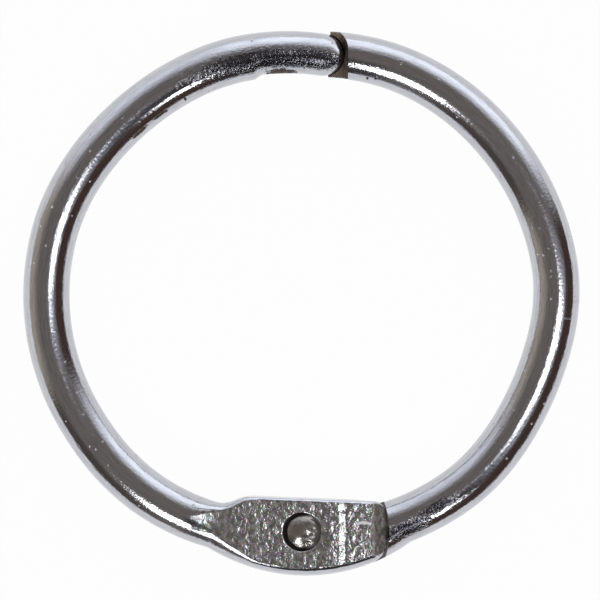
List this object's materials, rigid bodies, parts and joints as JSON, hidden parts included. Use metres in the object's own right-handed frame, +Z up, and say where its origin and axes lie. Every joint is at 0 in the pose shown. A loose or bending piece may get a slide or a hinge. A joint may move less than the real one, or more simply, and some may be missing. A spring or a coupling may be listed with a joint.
{
  "type": "binder ring",
  "caption": "Hinged loose-leaf binder ring of nickel-plated wire: half rings lapped and riveted at flat pressed ends, closing with a ball nose in a half socket, to hold punched sheets.",
  "frame": {"origin": "on the surface that the ring lies on, under the middle of its outline", "axes": "+Z up through the ring, +Y from the hinge to the closing tip, +X towards the rear half"},
  "size_m": [0.03, 0.0292, 0.0025],
  "materials": {
    "wire_nickel": "polished nickel plate with fine draw lines, specks of wear and a little rust inside the bend",
    "rivet_nickel": "duller, dented nickel plate"
  },
  "bodies": {
    "rear": {"rear_half": "wire_nickel", "hinge_rivet": "rivet_nickel"},
    "front": {"front_half": "wire_nickel"}
  },
  "joints": [
    {"name": "hinge", "type": "hinge", "parent": "rear", "child": "front", "pos_m": [0, -0.01225, 0.00125], "axis": [0, 0, 1], "range_deg": [0, 140]}
  ]
}
